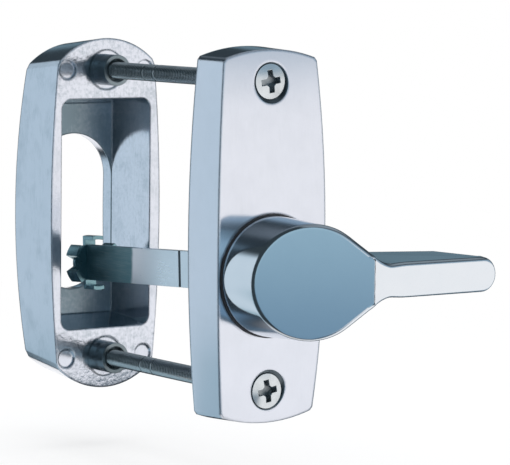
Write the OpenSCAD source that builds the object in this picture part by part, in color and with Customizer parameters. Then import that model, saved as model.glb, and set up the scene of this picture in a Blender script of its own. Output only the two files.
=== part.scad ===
// Lock escutcheon with thumb turn: an inner plate with a thumb turn and a
// hollow outer housing, drawn together through the door by two long screws.
// Millimetres, Z up, Y runs through the door from the inner plate.
// The origin is where the spindle axis meets the plate's door face.

/* [Outline] */
// Height of the inner plate and of the outer housing
outline_h = 102.4; // [96:0.2:116]
// Width across the middle at the door face
outline_w = 37.4; // [36:0.2:44]
// How far each long side bows out between its ends
side_bow = 2.9; // [1.5:0.1:3.5]
// Depth of the small cut on each corner
corner_cut = 0.4; // [0.2:0.1:1]
// Height of the outline's middle above the spindle axis
mid_z = 10.5; // [7:0.5:12]

/* [Inner plate] */
// Thickness at the middle
plate_t = 13; // [12:0.2:15]
// How much thinner the ends are than the middle
plate_crown = 2; // [0.5:0.1:2.5]
// How far each end of the plate arches up between its corners
plate_arch = 2.7; // [1.5:0.1:3.5]
// Lean of the plate's long side walls in degrees
plate_draft = 4.6; // [2:0.2:6]
// Lean of the plate's end walls in degrees
plate_end_draft = 2.6; // [1:0.2:6]
// Wall of the hollow casting
plate_wall = 2.5; // [2:0.1:3]

/* [Outer housing] */
// Clear space between the plate and the housing, which the door fills
door_t = 71.2; // [60:0.2:80]
// Depth at the middle
house_d = 23; // [22:0.2:28]
// How much shallower the ends are than the middle
house_crown = 5.2; // [3:0.1:6]
// How far each end of the housing arches up between its corners
house_arch = 6.2; // [4:0.1:7]
// Lean of the housing's long side walls in degrees
house_draft = 3.8; // [2:0.2:6]
// Lean of the housing's end walls in degrees
house_end_draft = 6; // [2:0.2:9]
// Width of the pocket in the door side
pocket_w = 30.4; // [29:0.2:32]
// Distance of the pocket from each end of the outline
pocket_edge = 17.6; // [17:0.2:21]
// Depth of the pocket
pocket_d = 18.3; // [16:0.1:18.5]
// Corner radius of the pocket
pocket_r = 3; // [1:0.5:5]
// How far each long side of the pocket leans in at its back
pocket_lean = 1.8; // [0.4:0.1:1.8]
// How far each end of the pocket leans in at its back
pocket_end_lean = 2.2; // [0.4:0.1:3]
// Radius of the ends of the lock cylinder window
window_r = 13.3; // [11:0.1:14]
// Height of the upper window centre above the spindle axis
window_rise = 19.6; // [12:0.2:21]
// Radius of the round marks beside the pillars
mark_r = 2.7; // [1.5:0.1:3]
// Distance of the round marks from the middle
mark_x = 13.2; // [11:0.1:13.2]

/* [Fixing screws] */
// Distance of each screw from its end of the outline
screw_edge = 9.2; // [8.5:0.1:10.5]
// Outer radius of the screw thread
screw_r = 2.45; // [2:0.05:3]
// Distance from the plate to the start of the thread
thread_start = 3; // [1:0.5:20]
// Radius of the countersunk head
head_r = 4.8; // [4.2:0.1:5]
// Width across the cross recess
recess_w = 6.2; // [4:0.1:7]
// Width of one arm of the cross recess
recess_arm = 1.7; // [1:0.1:2]
// Radius of the countersink at the plate's face
sink_r = 5.6; // [5.3:0.1:6]
// Length of screw inside the housing
screw_in = 9.3; // [6:0.1:10]
// Distance of the nearer break-off groove from the housing
snap_y = 22; // [15:0.5:26]
// Distance between the two break-off grooves
snap_pitch = 5.7; // [4:0.1:8]
// Distance the screws can draw the housing inwards
draw = 6; // [2:0.5:6]
// Radius of the pillar that stands into the door
pillar_r = 4.5; // [4:0.1:5]
// Length of the pillar that stands into the door
pillar_out = 5.7; // [3:0.1:8]

/* [Thumb turn] */
// Radius of the drum at its base
drum_r = 16.5; // [15:0.1:16.6]
// Radius of the drum at the lever's height
drum_top_r = 15.3; // [14:0.1:15.5]
// Height of the lever's front above the drum's base
turn_h = 25.2; // [22:0.2:30]
// Tilt of the thumb facet in degrees
facet_tilt = 20.8; // [14:0.2:24]
// Distance from the axis to the crease between facet and lever
crease_x = 15.7; // [14:0.1:18]
// Half width of the facet at the crease
crease_half = 7.2; // [6:0.1:8]
// Distance from the axis to the lever's tip
lever_reach = 57.5; // [45:0.5:65]
// Width of the lever's front
lever_w = 9.4; // [7:0.2:11]
// Depth of the lever at its root, from front to back
lever_depth = 15.4; // [10:0.2:17]
// Lean of the lever's back towards its tip, in degrees
back_lean = 9.8; // [0:0.2:12]
// Lean of the lever's flanks in degrees
lever_draft = 7; // [3:0.5:9]
// Length of the slope at the back of the tip
tip_slope = 13.8; // [8:0.2:18]
// Length of the thin edge at the tip
tip_flat = 5; // [2:0.5:6]
// Thickness left at the tip
tip_edge = 2; // [1.5:0.1:4]
// Radius of the hollow at the root of the lever
root_r = 9; // [6:0.5:12]

/* [Bearing] */
// Outer radius of the slide ring under the drum
ring_r = 16.8; // [16.6:0.1:17.4]
// Thickness of the slide ring
ring_t = 0.8; // [0.6:0.1:1.4]
// Radius of the neck that turns in the plate
neck_r = 8; // [7.4:0.1:8.2]
// Wall of the bearing bush
bush_wall = 1.5; // [1:0.1:2]
// Thickness of the index cam
cam_t = 1.9; // [1.5:0.1:2]
// Radius of the index cam
cam_r = 11.2; // [10.8:0.1:11.4]
// Radius of the notches in the index cam
notch_r = 1.6; // [1.2:0.1:1.8]
// Thickness of the leaf spring
leaf_t = 0.5; // [0.3:0.05:0.6]
// Radius of the stop pins
stop_r = 1.5; // [1:0.1:1.8]

/* [Tail] */
// Height of the tail blade
tail_h = 10.3; // [8:0.1:10.4]
// Thickness of the tail blade
tail_t = 2.5; // [1.5:0.1:2.6]
// Depth that the tail reaches into the housing
tail_in = 8.4; // [4:0.1:9]
// Angle by which the loose tail hangs down, in degrees
tail_droop = 3; // [0:0.5:3]
// Distance of the break-off score from the plate
score_y = 30.3; // [20:0.1:50]
// Radius over the claws
claw_r = 8; // [7:0.1:8.4]
// Width of one claw
claw_w = 3.6; // [2.5:0.1:4]
// Length of the bent part of a claw
claw_len = 5.6; // [3:0.1:7]

/* [Clearances] */
// Radial clearance of a turning fit
run_gap = 0.05; // [0.03:0.01:0.08]
// Clearance of a loose fit
loose_gap = 0.3; // [0.2:0.05:0.4]
// Radial gap around a pressed pin or spindle
press_gap = 0.02; // [0:0.01:0.03]

/* [Hidden] */
$fn = 72;
big_fn = 360;

// Arcs of the outline
half_h = outline_h / 2;
half_w = outline_w / 2;
side_r = (half_h * half_h + side_bow * side_bow) / (2 * side_bow);
end_w = half_w - side_bow;
plate_end_r = (end_w * end_w + plate_arch * plate_arch) / (2 * plate_arch);
house_end_r = (end_w * end_w + house_arch * house_arch) / (2 * house_arch);
function side_x(z) = half_w - side_r + sqrt(side_r * side_r - z * z);
function end_z(x, r) = half_h - r + sqrt(r * r - x * x);

// Crown of the plate and of the housing
plate_crown_r = (half_h * half_h + plate_crown * plate_crown) / (2 * plate_crown);
house_crown_r = (half_h * half_h + house_crown * house_crown) / (2 * house_crown);
function plate_face(z) = -plate_t + plate_crown_r - sqrt(plate_crown_r * plate_crown_r - pow(z - mid_z, 2));

// Screws and pillars
upper_z = mid_z + half_h - screw_edge;
lower_z = mid_z - half_h + screw_edge;
pocket_h = outline_h - 2 * pocket_edge;
shank_r = screw_r - 0.22;
sink_y = plate_face(upper_z);
head_gap = run_gap * sqrt(2);
rim_y = sink_y + sink_r - head_gap - head_r;
head_land = 0.25;
dome_h = 0.55;
screw_end = door_t + screw_in;
screw_hole_r = screw_r + loose_gap;
thread_r = screw_r + 2 * run_gap;
spot_r = pillar_r + 1.3;
spot_d = 0.4;
pillar_in = 11.8;
pillar_plug_r = pillar_r - 0.5;
bore_end = screw_end + draw + 0.5;
screw_boss_r = sink_r + 1.6;
recess_d = 1.6;
recess_core = recess_arm * 1.9;

// Levels along the spindle axis
seat_y = plate_face(-ring_r);
base_y = seat_y - ring_t - run_gap;
spindle_y = base_y - 10;
boss_y = -6;
spring_h = 1.05;
washer_t = 0.6;
clip_t = 1;
spring_y = boss_y + run_gap;
washer_y = spring_y + spring_h;
cam_y = washer_y + washer_t;
shim_y = cam_y + cam_t;
shim_t = 0.3;
clip_y = shim_y + shim_t;
neck_end = clip_y + clip_t + 0.75;
bush_r = neck_r + run_gap + bush_wall;
boss_r = bush_r + 2;
groove_r = neck_r - 0.8;
flat_x = neck_r - 1.2;

// Leaf spring, posts and stops
notch_x = cam_r + 0.7;
nose_r = notch_r - 0.1;
leaf_x = notch_x + 0.1;
leaf_half = 14;
leaf_y0 = cam_y + 0.2;
leaf_y1 = cam_y + cam_t - 0.2;
post_z = 11.4;
post_len = 3.2;
lug_half = 2.5;
lug_r = cam_r + 3.3;
stop_x = lug_half + 0.1 + stop_r;
stop_z = cam_r + 1.9;
stop_boss_r = stop_r + 1.5;
stop_top = clip_y;
floor_y = plate_face(0) + plate_wall;

// Tail
pivot_y = -8;
pin_r = 1.5;
pin_half = neck_r - 0.6;
slot_t = tail_t + loose_gap;
tail_back = 4;
tail_end = door_t + tail_in;
slot_half = tail_h / 2 + 0.75;
slot_y = pivot_y - tail_back - 0.6;
clip_plate = 1.2;
claw_t = 1.1;
star_hub_r = 5.4;
tongue_h = 7;

module along_y(y0, y1) {
    translate([0, y1, 0])
        rotate([90, 0, 0])
            linear_extrude(y1 - y0)
                children();
}

module rod_y(y0, y1, r) {
    translate([0, y0, 0])
        rotate([-90, 0, 0])
            cylinder(h = y1 - y0, r = r);
}

module cone_y(y0, y1, ra, rb) {
    translate([0, y0, 0])
        rotate([-90, 0, 0])
            cylinder(h = y1 - y0, r1 = ra, r2 = rb);
}

// One leaning wall of the outline: a wide cone that runs from y0 away from the door
module wall_cone(x, z, r, slope, y0, side, depth) {
    translate([x, y0, z])
        rotate([-90 * side, 0, 0])
            cylinder(h = depth, r1 = r, r2 = r - slope * depth, $fn = big_fn);
}

// The outline, its four walls leaning in with distance from the door
module leaning_block(y0, side, depth, inset, side_slope, end_slope, end_r) {
    intersection() {
        wall_cone(half_w - side_r, mid_z, side_r - inset, side_slope, y0, side, depth);
        wall_cone(side_r - half_w, mid_z, side_r - inset, side_slope, y0, side, depth);
        end_wall(1, y0, side, depth, inset, end_slope, end_r);
        end_wall(-1, y0, side, depth, inset, end_slope, end_r);
    }
}

// One arched end with everything on the far side of its arc's centre
module end_wall(end, y0, side, depth, inset, slope, end_r) {
    centre_z = half_h - end_r;
    far_z = end > 0 ? centre_z - outline_h : -centre_z;
    union() {
        wall_cone(0, mid_z + end * centre_z, end_r - inset, slope, y0, side, depth);
        translate([-outline_w, side > 0 ? y0 : y0 - depth, mid_z + far_z])
            cube([2 * outline_w, depth, outline_h]);
    }
}

// Small slanted cuts on the four corners, leaning in with the walls
module corner_cuts(y0, side, depth, side_slope, end_slope, end_r) {
    near_x = side_x(end_z(end_w, end_r));
    cut_z = end_z(near_x, end_r);
    cut_x = side_x(cut_z);
    side_a = asin(cut_z / side_r);
    end_a = 90 - asin(cut_x / end_r);
    lean = atan((side_slope + end_slope) / (2 * cos((end_a - side_a) / 2)));
    for (sx = [-1, 1])
        for (sz = [-1, 1])
            translate([sx * cut_x, y0, mid_z + sz * cut_z])
                rotate([0, -sx * sz * (side_a + end_a) / 2, 0])
                    rotate([0, 0, sx * side * lean])
                        translate([sx * (outline_w / 2 - corner_cut), 0, 0])
                            cube([outline_w, 3 * depth, outline_w], center = true);
}

module crown_x(y, r) {
    translate([0, y, mid_z])
        rotate([0, 90, 0])
            cylinder(h = 2 * outline_w, r = r, center = true, $fn = big_fn);
}

module inner_plate() {
    slope = tan(plate_draft);
    end_slope = tan(plate_end_draft);
    color("Silver")
    difference() {
        union() {
            difference() {
                intersection() {
                    leaning_block(0, -1, plate_t + 1, 0, slope, end_slope, plate_end_r);
                    crown_x(plate_crown_r - plate_t, plate_crown_r);
                }
                intersection() {
                    translate([0, 1, 0])
                        leaning_block(0, -1, plate_t + 2, plate_wall - slope, slope, end_slope, plate_end_r);
                    crown_x(plate_crown_r - plate_t, plate_crown_r - plate_wall);
                }
            }
            intersection() {
                plate_bosses();
                leaning_block(0, -1, plate_t + 1, plate_wall / 2, slope, end_slope, plate_end_r);
                crown_x(plate_crown_r - plate_t, plate_crown_r - plate_wall / 2);
            }
        }
        corner_cuts(0, -1, plate_t, slope, end_slope, plate_end_r);
        rod_y(-plate_t - 1, seat_y, ring_r + 0.1);
        rod_y(-plate_t - 1, 1, bush_r);
        for (z = [upper_z, lower_z])
            translate([0, 0, z]) {
                rod_y(-plate_t - 1, 1, screw_hole_r);
                cone_y(sink_y - 1, sink_y + sink_r - screw_hole_r, sink_r + 1, screw_hole_r);
            }
        for (sz = [-1, 1])
            translate([stop_x, 0, sz * stop_z])
                rod_y(floor_y - 1.4, 0, stop_r);
        leaf_slots();
    }
}

// Bosses, ribs and spring posts inside the plate
module plate_bosses() {
    rod_y(-plate_t, boss_y, boss_r);
    for (z = [upper_z, lower_z])
        translate([0, 0, z])
            rod_y(-plate_t, 0, screw_boss_r);
    for (sz = [-1, 1]) {
        translate([stop_x, 0, sz * stop_z])
            rod_y(-plate_t, boss_y - 0.6, stop_boss_r);
        translate([leaf_x - 1.1, -plate_t, sz > 0 ? post_z : -post_z - post_len])
            cube([leaf_t + 2.4, plate_t + leaf_y1, post_len]);
    }
    translate([-1, -plate_t, 0])
        cube([2, plate_t + boss_y - 0.6, upper_z]);
    translate([-1, -plate_t, lower_z])
        cube([2, plate_t + boss_y - 0.6, -lower_z]);
}

module leaf_slots() {
    for (sz = [-1, 1])
        translate([leaf_x - run_gap, leaf_y0 - run_gap, sz > 0 ? post_z - 1 : -leaf_half - 0.1])
            cube([leaf_t + 2 * run_gap, plate_t, leaf_half + 1.1 - post_z]);
}

module bearing_bush() {
    color("Tan")
    difference() {
        rod_y(seat_y, boss_y, bush_r);
        rod_y(seat_y - 1, boss_y + 1, neck_r + run_gap);
    }
}

module slide_ring() {
    color("DimGray")
    difference() {
        rod_y(seat_y - ring_t, seat_y, ring_r);
        rod_y(seat_y - ring_t - 1, seat_y + 1, neck_r + loose_gap);
    }
}

// Half outline of the hollow root where the drum runs into the lever
module root_outline() {
    dx = sqrt(2 * root_r * (crease_half - lever_w / 2) - pow(crease_half - lever_w / 2, 2));
    for (m = [0, 1])
        mirror([0, m])
            difference() {
                polygon([[0, 0], [0, drum_top_r - 1.2], [drum_top_r * 0.62, drum_top_r * 0.8],
                    [crease_x, crease_half], [crease_x + dx, crease_half], [crease_x + dx, 0]]);
                translate([crease_x + dx, lever_w / 2 + root_r])
                    circle(r = root_r);
            }
}

module lever_bar() {
    front_y = base_y - turn_h;
    back_y = front_y + lever_depth;
    front_half = lever_w / 2;
    back_half = front_half + lever_depth * tan(lever_draft);
    tip_x = lever_reach - front_half;
    union() {
        rotate([90, 0, 90])
            linear_extrude(tip_x)
                polygon([[front_y, -front_half], [front_y, front_half],
                    [back_y, back_half], [back_y, -back_half]]);
        translate([tip_x, 0, 0])
            cone_y(front_y, back_y, front_half, back_half);
    }
}

// Side view of the thumb turn: facet, lever front and the slope behind the tip
module turn_side() {
    back_x = -drum_r - 1;
    tip_x = lever_reach + 1;
    root_x = drum_r + 1;
    slope_x = lever_reach - tip_slope;
    root_back = lever_depth - turn_h;
    slope_back = root_back - (slope_x - root_x) * tan(back_lean);
    rise = tan(facet_tilt) * (crease_x - back_x);
    translate([0, base_y, -drum_r - 1])
        linear_extrude(2 * drum_r + 2)
            polygon([[back_x, 0], [root_x, 0], [root_x, root_back], [slope_x, slope_back],
                [lever_reach - tip_flat, tip_edge - turn_h], [tip_x, tip_edge - turn_h],
                [tip_x, -turn_h], [crease_x, -turn_h], [back_x, rise - turn_h]]);
}

module thumb_turn() {
    color("LightSteelBlue")
    difference() {
        intersection() {
            union() {
                cone_y(base_y - turn_h - 1, base_y, drum_top_r, drum_r);
                along_y(base_y - turn_h, base_y - turn_h + lever_depth)
                    root_outline();
                lever_bar();
            }
            turn_side();
        }
        rod_y(spindle_y, base_y + 1, neck_r + press_gap);
    }
}

// Turned spindle: pressed into the drum, slotted for the tail, grooved for the ring
module spindle() {
    color("LightGray")
    difference() {
        rod_y(spindle_y, neck_end, neck_r);
        translate([-slot_t / 2, slot_y, -slot_half])
            cube([slot_t, neck_end - slot_y + 1, 2 * slot_half]);
        translate([-2 * neck_r, pivot_y, 0])
            rotate([0, 90, 0])
                cylinder(h = 4 * neck_r, r = pin_r + press_gap);
        difference() {
            rod_y(clip_y - 0.02, clip_y + clip_t + 0.02, neck_r + 1);
            rod_y(clip_y - 1, clip_y + clip_t + 1, groove_r);
        }
        for (sx = [-1, 1])
            translate([sx > 0 ? flat_x : -flat_x - 5, cam_y - run_gap, -10])
                cube([5, 10, 20]);
    }
}

module disc_spring() {
    inner = neck_r + loose_gap;
    outer = boss_r - 0.7;
    color("SteelBlue")
    translate([0, spring_y, 0])
        rotate([-90, 0, 0])
            rotate_extrude()
                polygon([[inner, spring_h - 0.4], [inner, spring_h], [outer, 0.4], [outer, 0]]);
}

module thrust_washer() {
    color("Gainsboro")
    difference() {
        rod_y(washer_y, cam_y, boss_r - 0.5);
        rod_y(washer_y - 1, cam_y + 1, neck_r + run_gap);
    }
}

module index_cam() {
    color("SlateGray")
    along_y(cam_y, cam_y + cam_t)
        difference() {
            union() {
                circle(r = cam_r);
                translate([-lug_r, -lug_half])
                    square([lug_r, 2 * lug_half]);
            }
            intersection() {
                circle(r = neck_r + run_gap);
                translate([-flat_x - run_gap, -2 * neck_r])
                    square([2 * flat_x + 2 * run_gap, 4 * neck_r]);
            }
            for (a = [0, 90, 270])
                rotate(a)
                    translate([notch_x, 0])
                        circle(r = notch_r);
        }
}

module shim_washer() {
    color("Gainsboro")
    difference() {
        rod_y(shim_y, clip_y, boss_r - 1);
        rod_y(shim_y - 1, clip_y + 1, neck_r + run_gap);
    }
}

module retaining_ring() {
    color("DarkSlateGray")
    along_y(clip_y, clip_y + clip_t)
        difference() {
            union() {
                circle(r = neck_r + 1.6);
                translate([-3.4, -neck_r - 3.6])
                    square([6.8, 4]);
            }
            circle(r = groove_r + run_gap);
            translate([-1.6, -neck_r - 5])
                square([3.2, 6]);
            for (sx = [-1, 1])
                translate([sx * 2.5, -neck_r - 2.4])
                    circle(r = 0.5);
        }
}

module stop_pins() {
    color("LightGray")
    for (sz = [-1, 1])
        translate([stop_x, 0, sz * stop_z])
            rod_y(floor_y - 1.4, stop_top, stop_r);
}

module index_spring() {
    color("CadetBlue")
    along_y(leaf_y0, leaf_y1)
        difference() {
            union() {
                translate([leaf_x, -leaf_half])
                    square([leaf_t, 2 * leaf_half]);
                translate([notch_x, 0])
                    circle(r = nose_r);
            }
            translate([notch_x, 0])
                circle(r = nose_r - leaf_t);
            translate([leaf_x + leaf_t, -5])
                square([5, 10]);
        }
}

module tail_pin() {
    color("DarkGray")
    translate([-pin_half, pivot_y, 0])
        rotate([0, 90, 0])
            cylinder(h = 2 * pin_half, r = pin_r);
}

// The tail hangs a little about its pin
module hang() {
    translate([0, pivot_y, 0])
        rotate([-tail_droop, 0, 0])
            translate([0, -pivot_y, 0])
                children();
}

module tail_blade() {
    color("LightSlateGray")
    hang()
        difference() {
            union() {
                translate([-tail_t / 2, pivot_y - tail_back, -tail_h / 2])
                    cube([tail_t, tail_end - pivot_y + tail_back, tail_h]);
                translate([-tail_t / 2, pivot_y, -tongue_h / 2])
                    cube([tail_t, tail_end - pivot_y + clip_plate + 0.5, tongue_h]);
            }
            translate([-2 * tail_t, pivot_y, 0])
                rotate([0, 90, 0])
                    cylinder(h = 4 * tail_t, r = pin_r + run_gap);
            for (sx = [-1, 1])
                translate([sx * tail_t / 2, score_y, 0])
                    rotate([0, 0, 45])
                        cube([0.8, 0.8, 2 * tail_h], center = true);
        }
}

module claw_arms() {
    for (i = [0:5])
        rotate(30 + 60 * i)
            translate([0, -claw_w / 2])
                square([claw_r + 1, claw_w]);
}

module star_clip() {
    color("DarkCyan")
    hang() {
        difference() {
            union() {
                along_y(tail_end, tail_end + clip_plate)
                    union() {
                        circle(r = star_hub_r);
                        intersection() {
                            circle(r = claw_r);
                            claw_arms();
                        }
                    }
                along_y(tail_end + clip_plate - claw_len, tail_end + clip_plate / 2)
                    intersection() {
                        difference() {
                            circle(r = claw_r);
                            circle(r = claw_r - claw_t);
                        }
                        claw_arms();
                    }
            }
            translate([-tail_t / 2, tail_end - 1, -tongue_h / 2])
                cube([tail_t, clip_plate + 2, tongue_h]);
        }
    }
}

module fixing_screw(turn) {
    dome_r = (head_r * head_r + dome_h * dome_h) / (2 * dome_h);
    difference() {
        union() {
            intersection() {
                translate([0, rim_y - head_land - dome_h + dome_r, 0])
                    sphere(r = dome_r, $fn = 180);
                rod_y(rim_y - head_land - dome_h - 1, rim_y, head_r);
            }
            cone_y(rim_y, rim_y + head_r - shank_r, head_r, shank_r);
            rod_y(rim_y, thread_start, shank_r);
            rod_y(thread_start, screw_end, screw_r);
        }
        for (a = [0, 90])
            rotate([0, turn + a, 0])
                translate([-recess_w / 2, rim_y - head_r, -recess_arm / 2])
                    cube([recess_w, head_r + recess_d, recess_arm]);
        rotate([0, turn + 45, 0])
            translate([-recess_core / 2, rim_y - head_r, -recess_core / 2])
                cube([recess_core, head_r + recess_d, recess_core]);
        for (y = [door_t - snap_y - snap_pitch, door_t - snap_y])
            difference() {
                rod_y(y - 0.4, y + 0.4, screw_r + 1);
                rod_y(y - 1, y + 1, screw_r - 0.4);
            }
        difference() {
            rod_y(screw_end - 0.8, screw_end + 1, screw_r + 1);
            cone_y(screw_end - 0.8, screw_end + 1, screw_r, screw_r - 1.8);
        }
    }
}

module upper_screw() {
    color("Gray")
    translate([0, 0, upper_z])
        fixing_screw(-8);
}

module lower_screw() {
    color("Gray")
    translate([0, 0, lower_z])
        fixing_screw(-9);
}

module pocket_outline() {
    union() {
        square([pocket_w - 2 * pocket_r, pocket_h], center = true);
        square([pocket_w, pocket_h - 2 * pocket_r], center = true);
        for (sx = [-1, 1])
            for (sz = [-1, 1])
                translate([sx * (pocket_w / 2 - pocket_r), sz * (pocket_h / 2 - pocket_r)])
                    circle(r = pocket_r);
    }
}

// Hollow in the door side, leaning in all round towards its back
module pocket() {
    half = pocket_w / 2;
    tall = pocket_h / 2;
    wide = pocket_lean / pocket_d;
    high = pocket_end_lean / pocket_d;
    intersection() {
        along_y(door_t - 1, door_t + pocket_d)
            pocket_outline();
        translate([0, door_t, -pocket_h])
            linear_extrude(2 * pocket_h)
                polygon([[-half - wide, -1], [half + wide, -1],
                    [half - pocket_lean, pocket_d], [pocket_lean - half, pocket_d]]);
        translate([-pocket_w, door_t, 0])
            rotate([90, 0, 90])
                linear_extrude(2 * pocket_w)
                    polygon([[-1, -tall - high], [pocket_d, pocket_end_lean - tall],
                        [pocket_d, tall - pocket_end_lean], [-1, tall + high]]);
    }
}

module window_outline() {
    union() {
        circle(r = window_r);
        translate([0, window_rise])
            circle(r = window_r);
        translate([-window_r, 0])
            square([2 * window_r, window_rise]);
    }
}

module outer_housing() {
    slope = tan(house_draft);
    end_slope = tan(house_end_draft);
    color("Silver")
    difference() {
        intersection() {
            leaning_block(door_t, 1, house_d + 1, 0, slope, end_slope, house_end_r);
            crown_x(door_t + house_d - house_crown_r, house_crown_r);
        }
        corner_cuts(door_t, 1, house_d, slope, end_slope, house_end_r);
        translate([0, 0, mid_z])
            pocket();
        along_y(door_t - 1, door_t + house_d + 5)
            window_outline();
        for (z = [upper_z, lower_z])
            translate([0, 0, z]) {
                rod_y(door_t - 1, door_t + spot_d, spot_r);
                rod_y(door_t - 1, door_t + spot_d + pillar_in, pillar_plug_r);
                rod_y(door_t - 1, bore_end, thread_r);
                for (sx = [-1, 1])
                    translate([sx * mark_x, 0, 0])
                        rod_y(door_t - 1, door_t + 0.7, mark_r);
            }
    }
}

module pillar() {
    difference() {
        union() {
            rod_y(door_t - pillar_out, door_t + spot_d, pillar_r);
            rod_y(door_t, door_t + spot_d + pillar_in, pillar_plug_r);
        }
        rod_y(door_t - pillar_out - 1, door_t + spot_d + pillar_in + 1, thread_r);
        cone_y(door_t - pillar_out - 0.01, door_t - pillar_out + 0.9, thread_r + 0.91, thread_r);
    }
}

module upper_pillar() {
    color("DarkKhaki")
    translate([0, 0, upper_z])
        pillar();
}

module lower_pillar() {
    color("DarkKhaki")
    translate([0, 0, lower_z])
        pillar();
}

inner_plate();
bearing_bush();
slide_ring();
thumb_turn();
spindle();
disc_spring();
thrust_washer();
index_cam();
shim_washer();
retaining_ring();
stop_pins();
index_spring();
tail_pin();
tail_blade();
star_clip();
upper_screw();
lower_screw();
outer_housing();
upper_pillar();
lower_pillar();
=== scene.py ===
"""Dresses the lock escutcheon with thumb turn: finishes, threads, a rounded knob, studio and camera."""
import logging
import math
from dataclasses import dataclass
from enum import Enum
from typing import Any, Iterable, Optional, Sequence, Union

import bmesh
import bpy
from mathutils import Matrix, Vector


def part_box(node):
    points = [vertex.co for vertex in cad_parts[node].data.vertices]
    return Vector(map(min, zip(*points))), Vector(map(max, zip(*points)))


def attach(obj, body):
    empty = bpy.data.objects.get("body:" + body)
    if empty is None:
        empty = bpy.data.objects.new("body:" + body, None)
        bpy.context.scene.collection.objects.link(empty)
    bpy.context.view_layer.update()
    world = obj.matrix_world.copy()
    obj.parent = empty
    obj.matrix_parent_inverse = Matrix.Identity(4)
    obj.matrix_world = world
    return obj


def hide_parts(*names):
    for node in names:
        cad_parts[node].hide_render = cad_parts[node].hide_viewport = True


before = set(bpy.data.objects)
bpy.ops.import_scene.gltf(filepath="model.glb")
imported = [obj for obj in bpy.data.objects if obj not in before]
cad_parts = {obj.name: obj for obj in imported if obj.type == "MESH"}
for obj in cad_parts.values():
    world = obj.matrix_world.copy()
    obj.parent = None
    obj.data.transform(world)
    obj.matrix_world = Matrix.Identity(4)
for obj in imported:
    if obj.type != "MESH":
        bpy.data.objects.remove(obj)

log = logging.getLogger("escutcheon")

MM = 0.001
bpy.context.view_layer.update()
DOOR_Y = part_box("outer_housing")[0].y

Colour = tuple[float, float, float]
Place = tuple[float, float, float]
Span = tuple[float, float]
Operand = Union["Field", float]
WHITE: Colour = (1.0, 1.0, 1.0)


def middle_z(node: str) -> float:
    """The height of the middle of a CAD node's box."""
    low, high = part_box(node)
    return (low.z + high.z) / 2


class Field:
    """One number that varies over a surface: a socket with operators that add Math nodes."""

    def __init__(self, graph: "Graph", socket: bpy.types.NodeSocket) -> None:
        """Wraps an output socket of a graph."""
        self.graph = graph
        self.socket = socket

    def _math(self, operation: str, *others: Operand, swapped: bool = False) -> "Field":
        """Adds one Math node.

        Args:
            operation: the Math node's operation.
            others: the other operands.
            swapped: puts this field after the other operands.

        Returns:
            The result as a new field.
        """
        values: list[Operand] = [self, *others]
        if swapped:
            values.reverse()
        node = self.graph.node("ShaderNodeMath", {"operation": operation}, dict(enumerate(values)))
        return Field(self.graph, node.outputs[0])

    def __add__(self, other: Operand) -> "Field":
        """This plus other."""
        return self._math("ADD", other)

    __radd__ = __add__

    def __sub__(self, other: Operand) -> "Field":
        """This minus other."""
        return self._math("SUBTRACT", other)

    def __rsub__(self, other: float) -> "Field":
        """Other minus this."""
        return self._math("SUBTRACT", other, swapped=True)

    def __mul__(self, other: Operand) -> "Field":
        """This times other."""
        return self._math("MULTIPLY", other)

    __rmul__ = __mul__

    def __truediv__(self, other: Operand) -> "Field":
        """This over other."""
        return self._math("DIVIDE", other)

    def __abs__(self) -> "Field":
        """The size of this without its sign."""
        return self._math("ABSOLUTE")

    def least(self, other: Operand) -> "Field":
        """The lesser of this and other."""
        return self._math("MINIMUM", other)

    def most(self, other: Operand) -> "Field":
        """The greater of this and other."""
        return self._math("MAXIMUM", other)

    def clamped(self) -> "Field":
        """This, kept between zero and one."""
        return self.most(0.0).least(1.0)

    def under(self, other: Operand) -> "Field":
        """One where this is less than other, else zero."""
        return self._math("LESS_THAN", other)

    def fraction(self) -> "Field":
        """The part of this after its whole number."""
        return self._math("FRACT")

    def sine(self) -> "Field":
        """The sine of this angle."""
        return self._math("SINE")

    def cosine(self) -> "Field":
        """The cosine of this angle."""
        return self._math("COSINE")

    def root(self) -> "Field":
        """The square root of this."""
        return self._math("SQRT")

    def step(self, low: float, high: float) -> "Field":
        """A smooth step of this.

        Args:
            low: where the step starts.
            high: where the step ends.

        Returns:
            A field that is zero below low and one above high.
        """
        node = self.graph.node(
            "ShaderNodeMapRange",
            {"interpolation_type": "SMOOTHSTEP", "clamp": True},
            {"Value": self, "From Min": low, "From Max": high, "To Min": 0.0, "To Max": 1.0},
        )
        return Field(self.graph, node.outputs["Result"])

    def fade(self, low: float, high: float) -> "Field":
        """A smooth fall of this, from one below low to zero above high."""
        return 1.0 - self.step(low, high)


def length(*parts: Field) -> Field:
    """The length of the vector with these parts."""
    first, *others = (part * part for part in parts)
    return sum(others, first).root()


def from_nearer_axis(x: Field, z: Field, heights: Span) -> Field:
    """The distance from the nearer of two axes that run along Y.

    Args:
        x: the point's place across the axes.
        z: the point's height.
        heights: the heights of the two axes.

    Returns:
        The distance as a field.
    """
    return length(x, abs(z - heights[0]).least(abs(z - heights[1])))


Value = Union[Field, bpy.types.NodeSocket, float, int, bool, str, Sequence[float], bpy.types.ID]


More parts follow.
